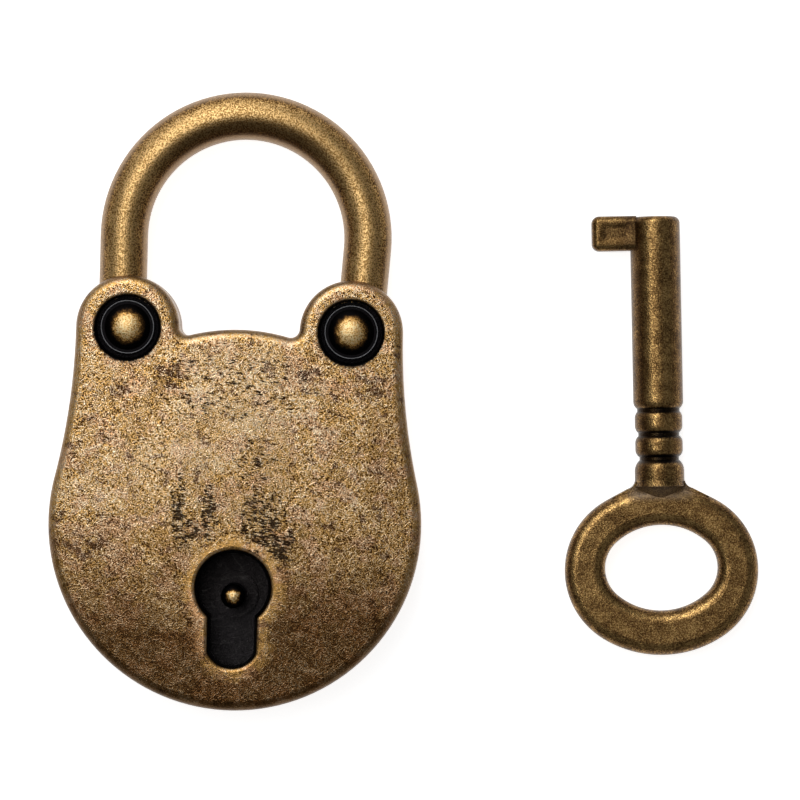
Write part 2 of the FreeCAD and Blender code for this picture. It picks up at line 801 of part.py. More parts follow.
tongue = new_sketch(shackle, "tongue", offset=parting - D.tongue_thickness / 2)
tongue_left = tongue_inner_x()
tongue_right = tongue_left + D.tongue_width
tongue_tip = D.ear_height - D.tongue_drop
nose_middle = arm_top - D.nose_height / 2
notch_half = D.nose_height / 2 + D.swing_gap
draw_outline(
    tongue,
    [
        (tongue_left, tongue_tip + D.tongue_bevel),
        (tongue_left + D.tongue_bevel, tongue_tip),
        (tongue_right, tongue_tip),
        (tongue_right, toe_end_y + D.bar_radius),
        (tongue_left, toe_end_y + D.bar_radius),
        (tongue_left, nose_middle + notch_half),
        (tongue_left + D.notch_depth, nose_middle + notch_half),
        (tongue_left + D.notch_depth, nose_middle - notch_half),
        (tongue_left, nose_middle - notch_half),
    ],
)
pad(shackle, tongue, D.tongue_thickness)

# The latch lever: an upright arm whose nose enters the tongue's notch, and a tail that the key's bit pushes.

latch_lever = new_body("latch_lever")
hub = new_sketch(latch_lever, "hub", offset=D.latch_rest_height)
draw_circle(hub, D.latch_x, D.latch_y, D.hub_radius)
pad(latch_lever, hub, D.latch_thickness)
arm = new_sketch(latch_lever, "arm", offset=D.latch_rest_height)
arm_left = D.latch_x - D.arm_width / 2
arm_right = D.latch_x + D.arm_width / 2
nose_x = tongue_left - D.swing_gap
draw_outline(
    arm,
    [
        (arm_left, D.latch_y),
        (arm_right, D.latch_y),
        (arm_right, arm_top - D.nose_height),
        (nose_x, arm_top - D.nose_height),
        (nose_x, arm_top - D.nose_bevel),
        (nose_x - D.nose_bevel, arm_top),
        (arm_left + D.nose_bevel, arm_top),
        (arm_left, arm_top - D.nose_bevel),
    ],
)
pad(latch_lever, arm, D.latch_thickness)
tail = new_sketch(latch_lever, "tail", offset=D.latch_rest_height)
tail_tip_x = D.latch_x - D.tail_reach
tail_tip_y = D.latch_y - D.tail_drop
tail_half = D.tail_width / 2
tail_side = tail_half * cosine(as_size(45))
draw_outline(
    tail,
    [
        (D.latch_x - tail_half, D.latch_y + tail_half),
        (tail_tip_x - tail_side, tail_tip_y + tail_side),
        (tail_tip_x + tail_side, tail_tip_y - tail_side, D.tail_end_radius),
        (D.latch_x + tail_half, D.latch_y - tail_half),
    ],
)
pad(latch_lever, tail, D.latch_thickness)
latch_bore = new_sketch(latch_lever, "bore", offset=0)
draw_circle(latch_bore, D.latch_x, D.latch_y, D.latch_pin_radius + D.pivot_clearance)
pocket(latch_lever, latch_bore, D.case_thickness, up=True)

# The flat spring: a bowed strip that presses on the arm, rolled round its post at the other end.

latch_spring = new_body("latch_spring")
spring_bottom = D.latch_rest_height + (D.latch_thickness - D.spring_width) / 2
strip = new_sketch(latch_spring, "strip", offset=spring_bottom)
strip_outside = D.spring_curve + D.spring_strip / 2
strip_inside = D.spring_curve - D.spring_strip / 2


def on_strip(radius, angle, below=False):
    across = radius * cosine(angle)
    along = radius * sine(angle)
    return spring_centre_x + across, D.spring_touch_y - along if below else D.spring_touch_y + along


draw_outline(
    strip,
    [
        (*on_strip(strip_outside, D.spring_end_angle), strip_outside),
        on_strip(strip_inside, D.spring_end_angle),
        (*on_strip(strip_inside, D.spring_tip_angle, below=True), -strip_inside),
        on_strip(strip_outside, D.spring_tip_angle, below=True),
    ],
)
pad(latch_spring, strip, D.spring_width)
roll = new_sketch(latch_spring, "roll", offset=spring_bottom)
draw_circle(roll, post_x, post_y, D.post_radius + D.pivot_clearance + D.spring_strip)
pad(latch_spring, roll, D.spring_width)
roll_bore = new_sketch(latch_spring, "roll_bore", offset=0)
draw_circle(roll_bore, post_x, post_y, D.post_radius + D.pivot_clearance)
pocket(latch_spring, roll_bore, D.case_thickness, up=True)

# The barrel key, drawn along its own Y axis from the middle of its bow, then laid beside the lock.

key = new_body("key")


def draw_oval(sketch, y, half_width, half_height, end_radius):
    """An oval of four tangent arcs: two round ends and two flatter sides."""
    side_radius = (half_width * half_width + half_height * half_height - 2 * half_width * end_radius) / (
        2 * (half_height - end_radius)
    )
    end_x = (half_width - end_radius).value
    side_y = (side_radius - half_height).value
    lean_angle = math.atan2(side_y, end_x)
    middle = as_size(y).value
    quarter = math.pi / 2
    run = [
        (end_x, middle, end_radius.value, -lean_angle, lean_angle, True),
        (0.0, middle - side_y, side_radius.value, lean_angle, 2 * quarter - lean_angle, True),
        (-end_x, middle, end_radius.value, 2 * quarter - lean_angle, 2 * quarter + lean_angle, True),
        (0.0, middle + side_y, side_radius.value, 2 * quarter + lean_angle, 4 * quarter - lean_angle, True),
    ]
    right_end, top_side, left_end, low_side = draw_arcs(sketch, run)
    for edge, x in ((right_end, half_width - end_radius), (left_end, end_radius - half_width)):
        hold_point(sketch, edge, 3, x, y)
        hold(sketch, "Radius", edge, end_radius)
    for edge in (top_side, low_side):
        hold(sketch, "Radius", edge, side_radius)


bow_plate = new_sketch(key, "bow", offset=-D.key_bow_thickness / 2)
draw_oval(bow_plate, 0, D.key_bow_half_width, D.key_bow_half_height, D.key_bow_end_radius)
pad(key, bow_plate, D.key_bow_thickness)
bow_hole = new_sketch(key, "bow_hole", offset=D.key_bow_thickness / 2)
draw_oval(bow_hole, D.key_eye_rise, D.key_eye_half_width, D.key_eye_half_height, D.key_eye_end_radius)
bow_pocket = pocket(key, bow_hole, D.key_bow_thickness)


def bow_rim(edge):
    """The outer and inner edges of the bow's two faces."""
    box = edge.BoundBox
    return box.ZLength < LEVEL and abs(abs(box.ZMax) - D.key_bow_thickness.value / 2) < LEVEL


round_edges(key, bow_pocket, D.key_bow_round, bow_rim)

turned = new_sketch(key, "turned")
bore_radius = D.drill_pin_radius + D.barrel_clearance


def corner_run(height, corner):
    """How far along the shank a rounded corner of this height runs."""
    return root(2 * corner * height - height * height)


# from the bow up: the foot, the tapering collar, two beads between three grooves, and the plain shank
outline = [
    (0, D.foot_height),
    (D.foot_radius - D.foot_bevel, D.foot_height),
    (D.foot_radius, D.foot_height + D.foot_bevel),
    (D.collar_radius, D.collar_foot_height),
]
lands = [
    (D.collar_radius, D.collar_corner),
    (D.bead_radius, D.bead_corner),
    (D.bead_radius, D.bead_corner),
    (D.shank_radius, D.bead_corner),
]
for groove, (below, above) in enumerate(zip(lands, lands[1:])):
    (low_radius, low_corner), (high_radius, high_corner) = below, above
    groove_radius = D.groove_radius + groove * D.groove_rise
    middle = D.top_groove_height - (len(lands) - 2 - groove) * D.bead_pitch
    low = middle - D.groove_width / 2
    high = middle + D.groove_width / 2
    outline += [
        (low_radius, low - corner_run(low_radius - groove_radius, low_corner)),
        (groove_radius, low, low_corner),
        (groove_radius, high),
        (high_radius, high + corner_run(high_radius - groove_radius, high_corner), high_corner),
    ]
outline += [
    (D.shank_radius, D.key_length - D.shank_round),
    (D.shank_radius - D.shank_round, D.key_length, D.shank_round),
    (0, D.key_length),
]
draw_outline(turned, outline)
revolve(key, turned)

# the flare of metal at each side of the foot, where it runs into the bow
web = new_sketch(key, "web", offset=-D.web_thickness / 2)
draw_outline(
    web,
    [
        (-D.web_half_width, D.web_foot_height),
        (D.web_half_width, D.web_foot_height),
        (D.web_bend_x, D.web_bend_height),
        (D.collar_radius, D.web_height, -D.web_curve),
        (-D.collar_radius, D.web_height),
        (-D.web_bend_x, D.web_bend_height, -D.web_curve),
    ],
)
pad(key, web, D.web_thickness)

bit = new_sketch(key, "bit", offset=-D.bit_thickness / 2)
bit_top = D.key_length + D.bit_proud
bit_foot = bit_top - D.bit_height
bit_root = -(bore_radius + D.shank_radius) / 2
draw_outline(
    bit,
    [
        (bit_root, bit_foot),
        (bit_root, bit_top),
        (D.bit_corner - D.bit_reach, bit_top),
        (-D.bit_reach, bit_top - D.bit_corner, D.bit_corner),
        (-D.bit_reach, bit_foot + D.bit_corner),
        (D.bit_corner - D.bit_reach, bit_foot, D.bit_corner),
    ],
)
bit_pad = pad(key, bit, D.bit_thickness)


def bit_rim(edge):
    """The edges round the bit's front and back."""
    box = edge.BoundBox
    flat = box.ZLength < LEVEL and abs(abs(box.ZMax) - D.bit_thickness.value / 2) < LEVEL
    return flat and box.XMin < -D.shank_radius.value and box.YMin > D.key_length.value / 2


round_edges(key, bit_pad, D.bit_round, bit_rim)

barrel = new_sketch(key, "barrel", "XZ_Plane", -D.key_length)
draw_circle(barrel, 0, 0, bore_radius)
pocket(key, barrel, D.barrel_depth)
doc.recompute()

drive(key, ".Placement.Base.x", D.key_x)
drive(key, ".Placement.Base.y", D.key_y)
drive(key, ".Placement.Base.z", D.foot_radius)
key.Placement.Rotation = FreeCAD.Rotation(FreeCAD.Vector(0, 0, 1), D.key_turn.value)
drive(key, ".Placement.Rotation.Angle", D.key_turn)

doc.recompute()

parts = [
    front_case,
    back_case,
    pivot_rivet,
    closing_rivet,
    pivot_rivet_washer,
    closing_rivet_washer,
    drill_pin,
    latch_pivot_pin,
    latch_stop_pin,
    latch_spring,
    spring_post,
    *dowel_pins,
    shackle,
    latch_lever,
    key,
]
for thing in doc.Objects:
    if "Invalid" in thing.State or "Error" in thing.State:
        raise RuntimeError(f"{thing.Name} failed: {thing.State}")
for part in parts:
    if part.Shape.isNull() or not part.Shape.isValid() or len(part.Shape.Solids) != 1:
        raise RuntimeError(f"{part.Label} is not one valid solid")

os.makedirs("parts", exist_ok=True)
for part in parts:
    part.Shape.exportStep(f"parts/{part.Label}.step")
    box = part.Shape.BoundBox
    print(f"{part.Label}: {part.Shape.Volume:.2f} mm3, z {box.ZMin:.2f} to {box.ZMax:.2f}")
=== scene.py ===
import math
from collections import namedtuple
from functools import partial, reduce

import bpy
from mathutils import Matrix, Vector


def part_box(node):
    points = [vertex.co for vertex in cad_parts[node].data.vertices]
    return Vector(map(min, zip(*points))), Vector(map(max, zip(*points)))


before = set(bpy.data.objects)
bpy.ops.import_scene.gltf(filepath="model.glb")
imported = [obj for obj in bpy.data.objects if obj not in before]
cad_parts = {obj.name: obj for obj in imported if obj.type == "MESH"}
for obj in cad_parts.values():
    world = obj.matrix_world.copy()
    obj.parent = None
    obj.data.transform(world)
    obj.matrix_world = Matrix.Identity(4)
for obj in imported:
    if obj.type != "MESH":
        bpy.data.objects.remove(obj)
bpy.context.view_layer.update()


# Back half of the case. Zinc alloy cast in a two-part mould, plated, blackened all over and then rubbed
# until the bronze shows again. That leaves hair-fine strokes, brown hollows and duller clouds, and keeps
# the inside, the round recesses behind the ears and the seam between the halves black.

MM = 0.001
PALE_BRONZE = (1.0, 0.80, 0.535)
GOLDEN = (0.91, 0.505, 0.145)
TAN = (0.91, 0.485, 0.215)
DULL_GREY = (0.275, 0.158, 0.114)
BROWN = (0.19, 0.095, 0.029)
RUST_BROWN = (0.22, 0.098, 0.029)
DEEP_BROWN = (0.060, 0.026, 0.009)
BLACKING = (0.005, 0.0045, 0.005)

Coordinates = namedtuple("Coordinates", "x y z")


class Amount:
    """A number that varies over a surface. Sums and products with it become nodes of its finish."""

    def __init__(self, metal, socket):
        self.metal = metal
        self.socket = socket

    def __add__(self, other):
        return self.metal.maths("ADD", self, other)

    def __sub__(self, other):
        return self.metal.maths("SUBTRACT", self, other)

    def __rsub__(self, other):
        return self.metal.maths("SUBTRACT", other, self)

    def __mul__(self, other):
        return self.metal.maths("MULTIPLY", self, other)

    def __abs__(self):
        return self.metal.maths("ABSOLUTE", self)

    __radd__ = __add__
    __rmul__ = __mul__


class Finish:
    """A metal finish built from nodes, measured in millimetres of the lock's own frame."""

    def __init__(self, name):
        self.material = bpy.data.materials.new(name)
        self.material.use_nodes = True
        self.tree = self.material.node_tree
        self.shader = self.tree.nodes["Principled BSDF"]
        self.shader.inputs["Metallic"].default_value = 1.0
        coordinates = self.tree.nodes.new("ShaderNodeTexCoord")
        self.place = self.mapped(coordinates.outputs["Object"], scale=(1 / MM,) * 3)

    def node(self, kind, **settings):
        """A new node of some kind, with the settings given by name."""
        made = self.tree.nodes.new(kind)
        for name, value in settings.items():
            setattr(made, name, value)
        return made

    def wire(self, source, socket):
        """Join an amount or an output to a socket, or set the socket to a plain value."""
        if isinstance(source, Amount):
            source = source.socket
        if isinstance(source, bpy.types.NodeSocket):
            self.tree.links.new(source, socket)
        elif isinstance(source, tuple) and socket.type == "RGBA":
            socket.default_value = (*source, 1.0)
        else:
            socket.default_value = source

    def mapped(self, vector, scale=(1, 1, 1), turn=0.0, shift=(0, 0, 0)):
        """A place scaled, turned by some degrees about the upright, and shifted."""
        mapping = self.node("ShaderNodeMapping")
        mapping.inputs["Scale"].default_value = scale
        mapping.inputs["Rotation"].default_value = (0, 0, math.radians(turn))
        mapping.inputs["Location"].default_value = shift
        self.wire(vector, mapping.inputs["Vector"])
        return mapping.outputs["Vector"]

    def maths(self, operation, first, second=0.0):
        """One step of arithmetic on amounts or plain numbers."""
        made = self.node("ShaderNodeMath", operation=operation)
        self.wire(first, made.inputs[0])
        self.wire(second, made.inputs[1])
        return Amount(self, made.outputs["Value"])

    def most(self, *values):
        return reduce(partial(self.maths, "MAXIMUM"), values)

    def least(self, *values):
        return reduce(partial(self.maths, "MINIMUM"), values)

    def hypotenuse(self, first, second):
        return self.maths("SQRT", first * first + second * second)

    def ramp(self, value, low, high, start=0.0, end=1.0):
        """A smooth step from start, where the value is low, to end, where it is high."""
        made = self.node("ShaderNodeMapRange", clamp=True, interpolation_type="SMOOTHSTEP")
        for name, amount in (("From Min", low), ("From Max", high), ("To Min", start), ("To Max", end)):
            made.inputs[name].default_value = amount
        self.wire(value, made.inputs["Value"])
        return Amount(self, made.outputs["Result"])

    def band(self, value, start, full, fading, end):
        """0 up to start, 1 between full and fading, and 0 again from end."""
        return self.ramp(value, start, full) * self.ramp(value, end, fading)

    def mix(self, share, first, second):
        """A colour that goes from the first to the second as the share goes from 0 to 1."""
        made = self.node("ShaderNodeMix", data_type="RGBA")
        factor, first_color, second_color = (socket for socket in made.inputs if socket.enabled)
        self.wire(share, factor)
        self.wire(first, first_color)
        self.wire(second, second_color)
        return next(socket for socket in made.outputs if socket.enabled)

    def tones(self, value, *stops):
        """Colour by value, from (value, colour) stops."""
        made = self.node("ShaderNodeValToRGB")
        elements = made.color_ramp.elements
        while len(elements) < len(stops):
            elements.new(0.5)
        for element, (at, color) in zip(elements, stops):
            element.position = at
            element.color = (*color, 1.0)
        self.wire(value, made.inputs["Fac"])
        return made.outputs["Color"]

    def noise(self, grain, detail=2.0, roughness=0.5, stretch=(1, 1, 1), turn=0.0, wander=0.0):
        """Noise whose lumps are about grain millimetres across, drawn out by stretch and turned."""
        made = self.node("ShaderNodeTexNoise")
        made.inputs["Scale"].default_value = 1 / grain
        made.inputs["Detail"].default_value = detail
        made.inputs["Roughness"].default_value = roughness
        made.inputs["Distortion"].default_value = wander
        drawn_out = tuple(1 / amount for amount in stretch)
        turned = self.mapped(self.place, turn=turn)
        self.wire(self.mapped(turned, scale=drawn_out), made.inputs["Vector"])
        return Amount(self, made.outputs["Fac"])

    def lines(self, grain, width, **settings):
        """Thin wandering lines, 1 on the line, where a noise crosses its middle value."""
        return self.ramp(abs(self.noise(grain, **settings) - 0.5), width, 0.0)

    def across(self, place=None):
        """The three coordinates, in millimetres, of the lock's own frame or of a place in another one."""
        made = self.node("ShaderNodeSeparateXYZ")
        self.wire(self.place if place is None else place, made.inputs[0])
        return Coordinates(*[Amount(self, socket) for socket in made.outputs])

    def facing(self):
        """1 where the surface faces straight up or down, 0 on upright sides."""
        normal = self.node("ShaderNodeNewGeometry").outputs["Normal"]
        return abs(self.across(normal).z)

    def distance(self, x, y, stretch=(1.0, 1.0)):
        """Distance in millimetres from an upright line at x, y, with each axis shrunk by its stretch."""
        moved = self.node("ShaderNodeVectorMath", operation="MULTIPLY_ADD")
        self.wire(self.place, moved.inputs[0])
        moved.inputs[1].default_value = (1 / stretch[0], 1 / stretch[1], 0)
        moved.inputs[2].default_value = (-x / stretch[0], -y / stretch[1], 0)
        made = self.node("ShaderNodeVectorMath", operation="LENGTH")
        self.wire(moved.outputs["Vector"], made.inputs[0])
        return Amount(self, made.outputs["Value"])

    def relief(self, height, depth, after=None):
        """Relief of depth millimetres from a height between 0 and 1, over any relief before it."""
        made = self.node("ShaderNodeBump")
        made.inputs["Strength"].default_value = 1.0
        made.inputs["Distance"].default_value = depth * MM
        self.wire(height, made.inputs["Height"])
        if after is not None:
            self.wire(after, made.inputs["Normal"])
        return made.outputs["Normal"]

    def done(self, color, roughness, relief):
        """The finished material, once its colour, roughness and relief are joined to the shader."""
        self.wire(color, self.shader.inputs["Base Color"])
        self.wire(roughness, self.shader.inputs["Roughness"])
        self.wire(relief, self.shader.inputs["Normal"])
        return self.material


def give_finish(material, *nodes):
    """Put one finish on CAD nodes in place of their plain colour."""
    for node in nodes:
        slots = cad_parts[node].data.materials
        slots.clear()
        slots.append(material)


SPECKLE_GRAIN = 0.13
HAIR_GRAIN = 0.115
HAIR_TURNS = (15, 75, 135)
RUBBED_RELIEF = 0.02


def rubbed_plating(metal, brightness_share, smooth=0.0, lift=0.0, stained=0.0):
    """The colour of the rubbed plating, its fine strokes, and how bright each spot is.

    Brightness share runs from 0, brown, to 1, rubbed bright; on the front it falls towards the foot
    partly as painted shade. Lift makes a place brighter still, on the front partly as painted light, and
    stained makes the grey-brown stains more likely. The strokes fade where the casting is smooth.
    """
    speckle = metal.noise(SPECKLE_GRAIN, 1.0)
    hairs = [
        metal.noise(HAIR_GRAIN, 1.0, stretch=(5.5, 1, 1), turn=turn, wander=0.1)
        for turn in HAIR_TURNS
    ]
    hair = metal.ramp(metal.most(*hairs), 0.52, 0.70)
    fine = 0.52 * metal.ramp(speckle, 0.38, 0.62) + 0.48 * hair
    blotches = metal.noise(1.2, 4.0, 0.65)
    broad = metal.noise(4.0)
    coarse = 0.75 * blotches + 0.40 * broad - 0.575 + lift
    contrast = (1.0 - 0.55 * smooth) * (1.15 + 0.30 * brightness_share)
    value = 0.60 + (fine - 0.50) * contrast + coarse

    clouds = metal.ramp(metal.noise(2.4, 3.0, 0.6), 0.48, 0.60)
    hue = metal.mix(clouds, GOLDEN, TAN)
    stains = metal.noise(1.1, 4.0, 0.7, stretch=(1.3, 1, 1), turn=20)
    dull = metal.ramp(stains + 0.11 * stained, 0.545, 0.65)
    hue = metal.mix(0.80 * dull, hue, DULL_GREY)
    value = value - 0.20 * dull
    hue = metal.mix(brightness_share, metal.mix(clouds, BROWN, RUST_BROWN), hue)
    hollow = metal.ramp(metal.noise(1.7, 3.0, 0.65), 0.50, 0.66)
    value = value - hollow * (0.30 - 0.30 * brightness_share)
    color = metal.mix(metal.ramp(value, 0.0, 0.55), DEEP_BROWN, hue)
    pale = metal.ramp(value, 0.55, 1.0) * (0.24 + 0.76 * brightness_share)
    return metal.mix(pale, color, PALE_BRONZE), fine, value


def rolled_edge(metal, facing):
    """1 where a half curves away from its face towards its sides."""
    return metal.ramp(facing, 0.993, 0.955)


parting_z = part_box("back_case")[1].z / MM
SEAM_BLACK = 0.03
SEAM_CLEAN = 0.16
EDGE_BROWN = (0.060, 0.033, 0.013)
SIDE_BROWN = (0.12, 0.065, 0.030)


def dark_sides(metal, facing, color):
    """The rolled edge and sides of a half, browner than its face, partly as painted shade, with the black
    line of the seam.
    """
    side = metal.mix(metal.ramp(facing, 0.45, 0.15), EDGE_BROWN, SIDE_BROWN)
    color = metal.mix(0.80 * metal.ramp(facing, 0.93, 0.66), color, side)
    seam = metal.ramp(abs(metal.across().z - parting_z), SEAM_CLEAN, SEAM_BLACK)
    return metal.mix(seam * metal.ramp(facing, 0.5, 0.2), color, BLACKING)


ear_washers = [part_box(washer) for washer in ("pivot_rivet_washer", "closing_rivet_washer")]
ear_places = [(low + high) / 2 / MM for low, high in ear_washers]


def near_ears(metal, radius, blur, ragged=0.0, drop=0.0):
    """1 within a radius of either ear's middle, or of a place a drop below it, and 0 beyond the blur."""
    nearest = metal.least(*[metal.distance(place.x, place.y - drop) for place in ear_places])
    nearest = nearest + ragged * (metal.noise(0.35, 3.0, 0.6) - 0.5)
    return metal.ramp(nearest, radius + blur, radius - blur)


BOWL_Y = 7.36
CHAMBER_RADIUS = 17.5
CHAMBER_BLUR = 0.2
PLATE_THICKNESS = 1.9


def in_chamber(metal, z, start, full):
    """1 within the side walls of the case and past the height full, 0 before the height start."""
    from_middle = metal.distance(0.0, BOWL_Y)
    walled = metal.ramp(from_middle, CHAMBER_RADIUS + CHAMBER_BLUR, CHAMBER_RADIUS - CHAMBER_BLUR)
    return metal.ramp(z, start, full) * walled


BACK_RECESS_RADIUS = 3.25
FLOOR_GREY = (0.030, 0.027, 0.028)
FLOOR_SHADOW = (0.023, 0.020, 0.020)
SCRATCH_GREY = (0.10, 0.095, 0.09)


def back_plating():
    """Rubbed all over and black in the recesses, with a scratched grey floor inside whose upper part is
    darker with painted shadow.
    """
    metal = Finish("back_plating")
    place = metal.across()
    facing = metal.facing()
    color, fine, value = rubbed_plating(metal, brightness_share=0.75, smooth=0.8 * rolled_edge(metal, facing))
    color = dark_sides(metal, facing, color)

    # the floor of the chamber shows through the keyhole, darker in its upper part with painted shadow
    # from the keyhole's top wall
    in_recess = near_ears(metal, BACK_RECESS_RADIUS, blur=0.12) * metal.ramp(place.z, 0.04, 0.30)
    inside = in_chamber(metal, place.z, PLATE_THICKNESS - 0.4, PLATE_THICKNESS - 0.2)
    scratch = metal.most(
        metal.lines(1.6, 0.012, detail=1.0, stretch=(4, 1, 1), turn=65, wander=0.3),
        metal.lines(1.3, 0.010, detail=1.0, stretch=(5, 1, 1), turn=-20, wander=0.2),
    )
    # painted shadow: the floor is darker towards its upper part, under the keyhole's top wall
    floor = metal.mix(metal.ramp(place.y, -2.5, 0.5), FLOOR_GREY, FLOOR_SHADOW)
    floor = metal.mix(0.25 * scratch, floor, SCRATCH_GREY)
    color = metal.mix(in_recess, color, BLACKING)
    color = metal.mix(inside, color, floor)
    rough = metal.ramp(fine, 0.1, 0.9, start=0.42, end=0.30)
    return metal.done(color, rough, metal.relief(value, depth=RUBBED_RELIEF))


give_finish(back_plating(), "back_case")


# Drill pin. A turned brass pin with a domed tip, which stands in the middle of the keyhole to carry the
# barrel key. It is plated and blackened like the case, and only its dome is rubbed. The bright crown of
# the dome is partly painted highlight, and its black edge partly painted shade.

RUBBED_BRASS_HIGHLIGHT = (1.0, 0.80, 0.44)


def dome_plating(node, bright_radius, black_radius):
    """Bright on the crown of a pin's dome, black round its edge."""
    low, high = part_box(node)
    middle = (low + high) / 2 / MM
    metal = Finish(node + "_plating")
    speckle = metal.noise(0.14, 2.0, 0.6)
    fine = metal.ramp(speckle, 0.36, 0.64)
    from_middle = metal.distance(middle.x, middle.y)
    # bright on the crown, partly rubbed and partly a painted highlight; black round the edge, partly
    # painted shade
    worn_and_lit = metal.ramp(from_middle + 0.9 * metal.noise(0.5, 3.0, 0.6) - 0.45, black_radius, bright_radius)
    value = worn_and_lit * (0.85 * fine + 0.4 * metal.noise(0.9) + 0.20)
    color = metal.tones(value, (0.0, BLACKING), (0.25, BROWN), (0.55, GOLDEN), (1.0, RUBBED_BRASS_HIGHLIGHT))
    rough = metal.ramp(worn_and_lit, 0.0, 1.0, start=0.42, end=0.36)
    return metal.done(color, rough, metal.relief(speckle, depth=0.05))


give_finish(dome_plating("drill_pin", bright_radius=0.30, black_radius=0.85), "drill_pin")


# Latch lever and its pins, the flat spring and its post, and the dowels. Plain steel, oiled and never
# plated: bright drawn pins pressed into the back half, a blued spring whose end is rolled round its post,
# and a black stamped lever that turns on its pin.

DRAWN_STEEL = (0.50, 0.49, 0.47)
POST_STEEL = (0.46, 0.45, 0.43)
DOWEL_STEEL = (0.42, 0.41, 0.39)
BLUED_STEEL = (0.16, 0.18, 0.26)
BLACK_STEEL = (0.060, 0.058, 0.060)
STREAKS_UP = (1, 1, 8)
STREAKS_ALONG_Y = (1, 6, 1)
STREAKS_ALONG_X = (6, 1, 1)


def plain_steel(name, color, roughness, streaks):
    """Steel with fine drawing marks, darker in its hollows."""
    metal = Finish(name)
    speckle = metal.noise(0.25, 3.0, 0.6)
    drawn = metal.noise(0.12, 2.0, 0.6, stretch=streaks)
    shade = 0.5 * speckle + 0.5 * drawn
    darker = tuple(part * 0.55 for part in color)
    steel = metal.mix(metal.ramp(shade, 0.35, 0.62), darker, color)
    rough = metal.ramp(shade, 0.3, 0.7, start=roughness + 0.12, end=roughness - 0.05)
    return metal.done(steel, rough, metal.relief(shade, depth=0.012))


drawn_steel = plain_steel("drawn_steel", DRAWN_STEEL, roughness=0.30, streaks=STREAKS_UP)
give_finish(drawn_steel, "latch_pivot_pin", "latch_stop_pin")
post_steel = plain_steel("post_steel", POST_STEEL, roughness=0.32, streaks=STREAKS_UP)
give_finish(post_steel, "spring_post")
blued_steel = plain_steel("blued_steel", BLUED_STEEL, roughness=0.28, streaks=STREAKS_ALONG_Y)
give_finish(blued_steel, "latch_spring")
stamped_steel = plain_steel("stamped_steel", BLACK_STEEL, roughness=0.42, streaks=STREAKS_ALONG_X)
give_finish(stamped_steel, "latch_lever")
dowel_steel = plain_steel("dowel_steel", DOWEL_STEEL, roughness=0.34, streaks=STREAKS_UP)
give_finish(dowel_steel, "left_dowel", "right_dowel", "crown_dowel")


# Shackle. A cast round bar, plated like the case, with an eye at the heel that turns on the left rivet
# and a flat notched tongue at the toe. It is brightest along its front and back, partly wear and partly
# painted highlight, brown down its flanks with a painted reflection of the pale table near their edges,
# and darker inside its arch, which is painted shade.

ARCH_X = 0.86
ARCH_Y = 37.1
ARCH_RADIUS = 12.5
ARCH_START_Y = 41.0
ARCH_FULL_Y = 47.0
BAR_DARK = (0.062, 0.029, 0.008)
BAR_BROWN = (0.25, 0.132, 0.041)
BAR_BRONZE = (0.60, 0.36, 0.125)
BAR_BRIGHT = (0.86, 0.56, 0.24)
FLANK_TABLE_REFLECTION = (0.40, 0.265, 0.15)


def shackle_plating():
    """Bright where the bar faces the front or the back, partly rubbed and partly painted highlight, brown
    down its flanks, with a painted reflection of the pale table near their edges, and darker inside the
    arch as painted shade.
    """
    metal = Finish("shackle_plating")
    fine = metal.ramp(metal.noise(0.16, 2.0, 0.6), 0.36, 0.64)
    facing = metal.facing()
    mottle = metal.noise(1.4, 4.0, 0.65)
    # bright where the bar faces the front or back: partly wear, partly a painted highlight
    worn_and_lit = metal.ramp(facing + 0.30 * mottle - 0.15, 0.58, 0.95)
    value = 0.70 * worn_and_lit + 0.74 * fine - 0.25
    color = metal.tones(value, (0.0, BAR_DARK), (0.4, BAR_BROWN), (0.75, BAR_BRONZE), (1.0, BAR_BRIGHT))
    # painted shade: the inner half of the arch is darkened, moving its highlight outwards
    arch_inner_shade = metal.ramp(metal.distance(ARCH_X, ARCH_Y), ARCH_RADIUS + 0.2, ARCH_RADIUS - 1.1)
    arch_inner_shade = arch_inner_shade * metal.ramp(metal.across().y, ARCH_START_Y, ARCH_FULL_Y)
    color = metal.mix(0.72 * arch_inner_shade, color, BAR_DARK)
    # painted reflection of the pale table on the steep flanks
    flank_reflection = metal.ramp(facing, 0.72, 0.45)
    color = metal.mix(0.6 * flank_reflection, color, FLANK_TABLE_REFLECTION)
    rough = metal.ramp(fine, 0.2, 0.8, start=0.40, end=0.30)
    return metal.done(color, rough, metal.relief(fine, depth=0.012))


give_finish(shackle_plating(), "shackle")


# Front half of the case. The same casting and finish as the back, gently crowned. It is rubbed hardest
# across the top and least towards the foot and the sides, which is partly painted light and shade, and
# short black tears of the casting run down to the keyhole. A smooth band lies round the keyhole, and the
# rolled edge is smoother and browner than the face, partly as painted shade.

face_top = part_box("front_case")[1].z / MM
FACE_BALL = 400.0
FACE_TOP_Y = 14.0
KEYHOLE_RADIUS = 3.95
KEYHOLE_Y = 0.85
KEYWAY_HALF = 2.6
KEYWAY_FOOT_Y = -4.9
FRONT_RECESS_RADIUS = 3.48
EAR_RADIUS = 4.9
TEAR_BROWN = (0.034, 0.019, 0.010)

